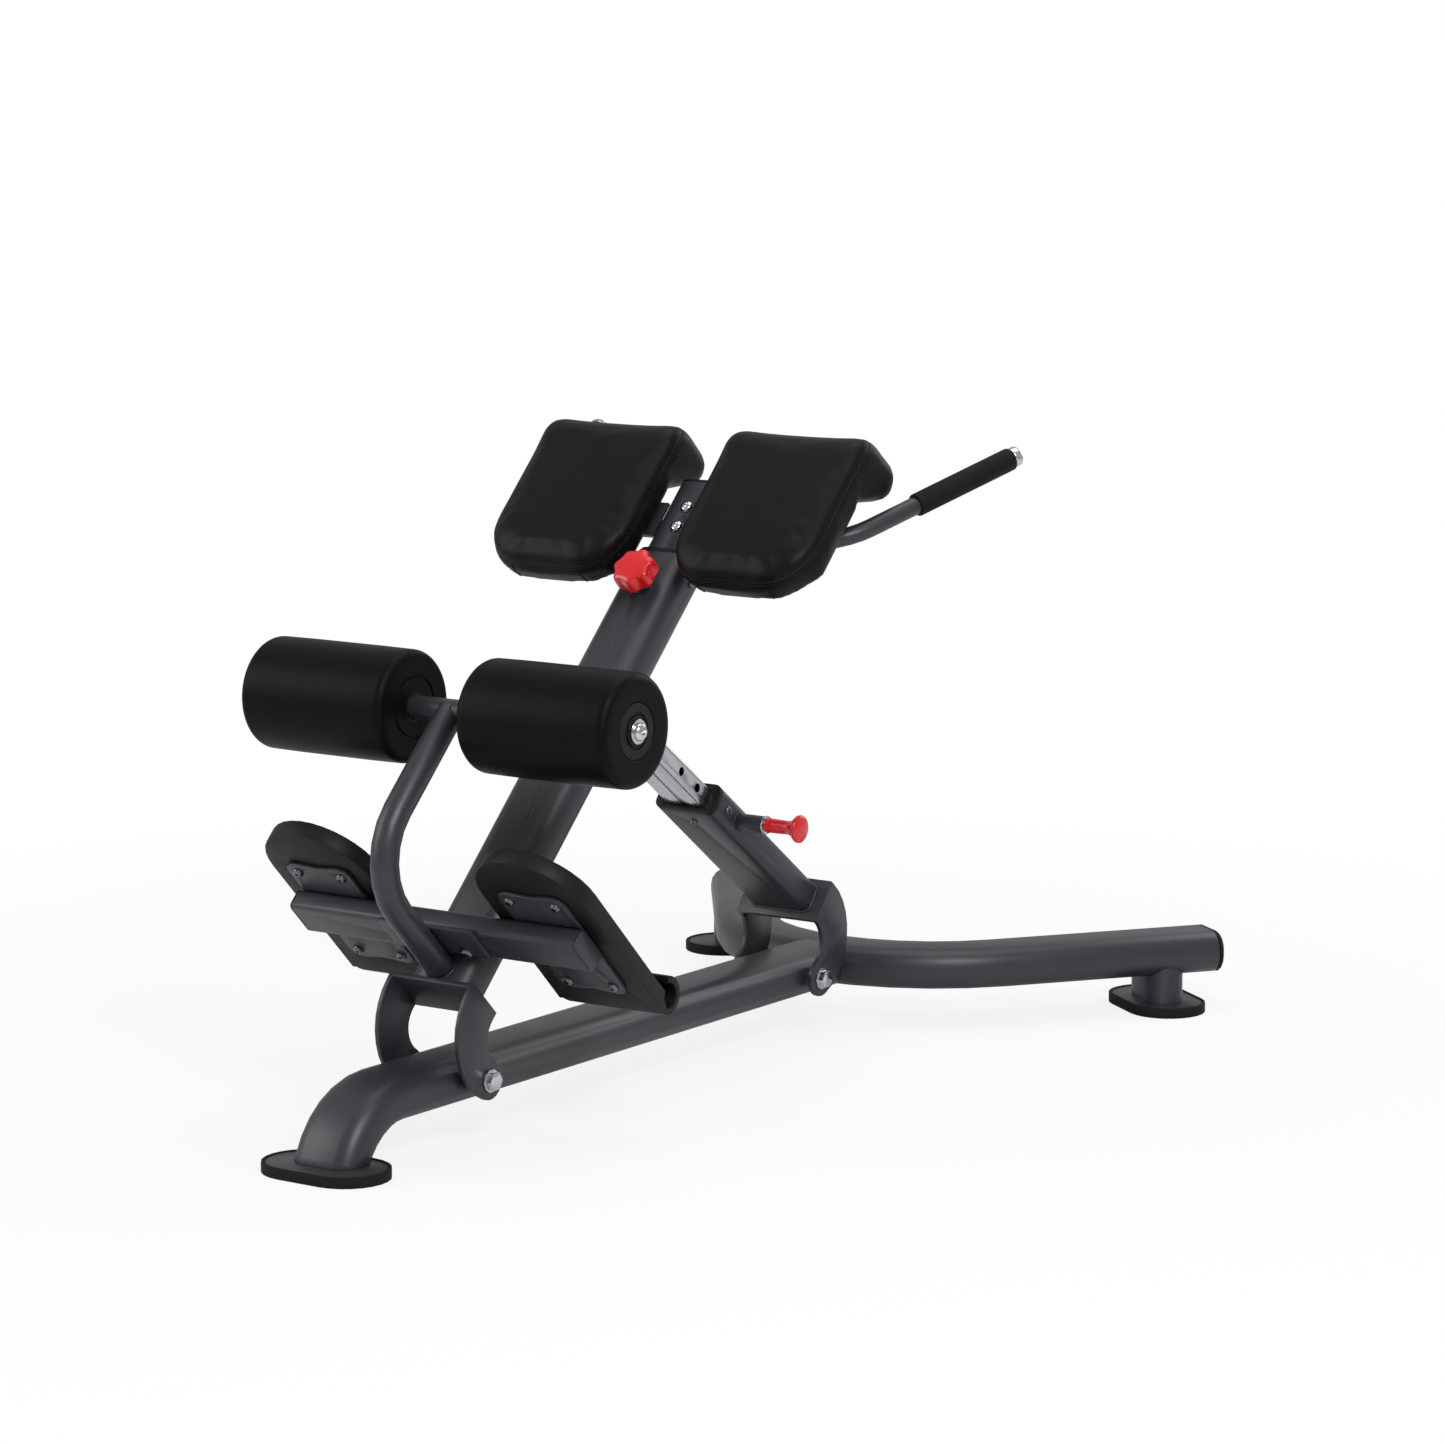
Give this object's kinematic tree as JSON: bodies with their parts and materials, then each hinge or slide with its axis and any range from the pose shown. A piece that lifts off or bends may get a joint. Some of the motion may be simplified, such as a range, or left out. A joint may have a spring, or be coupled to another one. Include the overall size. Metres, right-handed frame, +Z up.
{
  "type": "roman chair",
  "caption": "45 degree back extension bench: rollers and footplates on a leaning beam, hip pads and handlebar on a sliding post, telescoping support strut.",
  "frame": {"origin": "on the floor under the middle of the whole bench's bounding box", "axes": "+X to the right-hand side, +Y from the front foot to the rear crossbar, +Z up"},
  "size_m": [0.9142, 1.6272, 0.8833],
  "materials": {
    "frame_paint": "semi-matte charcoal powder coat",
    "black_plastic": "moulded black plastic",
    "chrome": "bright plating",
    "zinc": "zinc plated steel",
    "red_plastic": "moulded red plastic",
    "rubber": "black rubber",
    "foam": "dense black closed-cell foam with a smooth skin",
    "vinyl": "black grained upholstery vinyl",
    "plywood": "black-stained plywood"
  },
  "bodies": {
    "base": {"base_tube": "frame_paint", "rear_crossbar": "frame_paint", "crossbar_cap_right": "black_plastic", "crossbar_cap_left": "black_plastic", "front_rubber_foot": "rubber", "front_foot_plate": "frame_paint", "rear_rubber_foot_right": "rubber", "rear_rubber_foot_left": "rubber", "rear_leg_right": "frame_paint", "rear_leg_left": "frame_paint", "front_pivot_bolt": "chrome", "rear_pivot_bolt": "chrome"},
    "beam": {"front_bracket": "frame_paint", "main_beam": "frame_paint", "beam_liner": "black_plastic", "roller_post": "frame_paint", "roller_axle": "frame_paint", "roller_end_bolt_right": "chrome", "roller_end_bolt_left": "chrome", "cross_tube": "frame_paint", "cross_tube_cap_right": "frame_paint", "cross_tube_cap_left": "frame_paint", "footplate_bracket_right": "frame_paint", "footplate_bracket_left": "frame_paint", "footplate_right": "black_plastic", "footplate_left": "black_plastic", "strut_lug": "frame_paint", "star_knob_boss": "zinc"},
    "roller_right": {"roller_hub_right": "black_plastic", "roller_foam_right": "foam"},
    "roller_left": {"roller_hub_left": "black_plastic", "roller_foam_left": "foam"},
    "knob_pin": {"star_knob_pin": "chrome", "star_knob_spring": "zinc"},
    "knob": {"star_knob": "red_plastic"},
    "pad_carriage": {"inner_post": "frame_paint", "post_glide": "black_plastic", "post_cap": "black_plastic", "pad_plate_right": "frame_paint", "pad_plate_left": "frame_paint", "pad_board_right": "plywood", "pad_board_left": "plywood", "hip_pad_right": "vinyl", "hip_pad_left": "vinyl", "handlebar": "frame_paint", "grip_right": "rubber", "grip_left": "rubber", "grip_cap_right": "chrome", "grip_cap_left": "chrome"},
    "strut_outer": {"rear_bracket": "frame_paint", "strut_tube": "frame_paint", "strut_liner": "black_plastic", "pin_boss": "frame_paint", "pin_boss_ring": "chrome"},
    "strut_inner_body": {"strut_inner": "chrome", "strut_glide": "black_plastic", "strut_top_bolt": "chrome"},
    "pull_pin_body": {"pull_pin": "chrome", "pull_knob": "red_plastic", "pull_pin_spring": "zinc"}
  },
  "joints": [
    {"name": "beam_pivot", "type": "hinge", "parent": "base", "child": "beam", "pos_m": [0, -0.50362, 0.0825], "axis": [1, 0, 0], "range_deg": [-9.5, 9.5]},
    {"name": "strut_pivot", "type": "hinge", "parent": "base", "child": "strut_outer", "pos_m": [0, 0.27538, 0.0825], "axis": [1, 0, 0], "range_deg": [-1.25, 1.25]},
    {"name": "strut_slide", "type": "slide", "parent": "strut_outer", "child": "strut_inner_body", "axis": [0, -0.8018, 0.5976], "range_m": [-0.0945, 0.0945]},
    {"name": "pad_slide", "type": "slide", "parent": "beam", "child": "pad_carriage", "axis": [0, 0.7071, 0.7071], "range_m": [-0.025, 0.175]},
    {"name": "roller_spin_right", "type": "hinge", "parent": "beam", "child": "roller_right", "pos_m": [0.1785, -0.49061, 0.56149], "axis": [1, 0, 0], "continuous": true},
    {"name": "roller_spin_left", "type": "hinge", "parent": "beam", "child": "roller_left", "pos_m": [-0.1785, -0.49061, 0.56149], "axis": [1, 0, 0], "continuous": true},
    {"name": "star_knob_pull", "type": "slide", "parent": "beam", "child": "knob_pin", "axis": [0, -0.7071, 0.7071], "range_m": [0, 0.012], "stiffness_N_per_m": 1500, "springref_m": -0.005},
    {"name": "star_knob_turn", "type": "hinge", "parent": "knob_pin", "child": "knob", "pos_m": [0, -0.07476, 0.69521], "axis": [0, -0.7071, 0.7071], "continuous": true},
    {"name": "pull_pin_pull", "type": "slide", "parent": "strut_outer", "child": "pull_pin_body", "axis": [1, 0, 0], "range_m": [0, 0.014], "stiffness_N_per_m": 1500, "springref_m": -0.005}
  ],
  "couplings": [
    {"joint": "strut_pivot", "follows": "beam_pivot", "ratio": -0.1268},
    {"joint": "strut_slide", "follows": "beam_pivot", "m_per_rad": 0.5675}
  ]
}
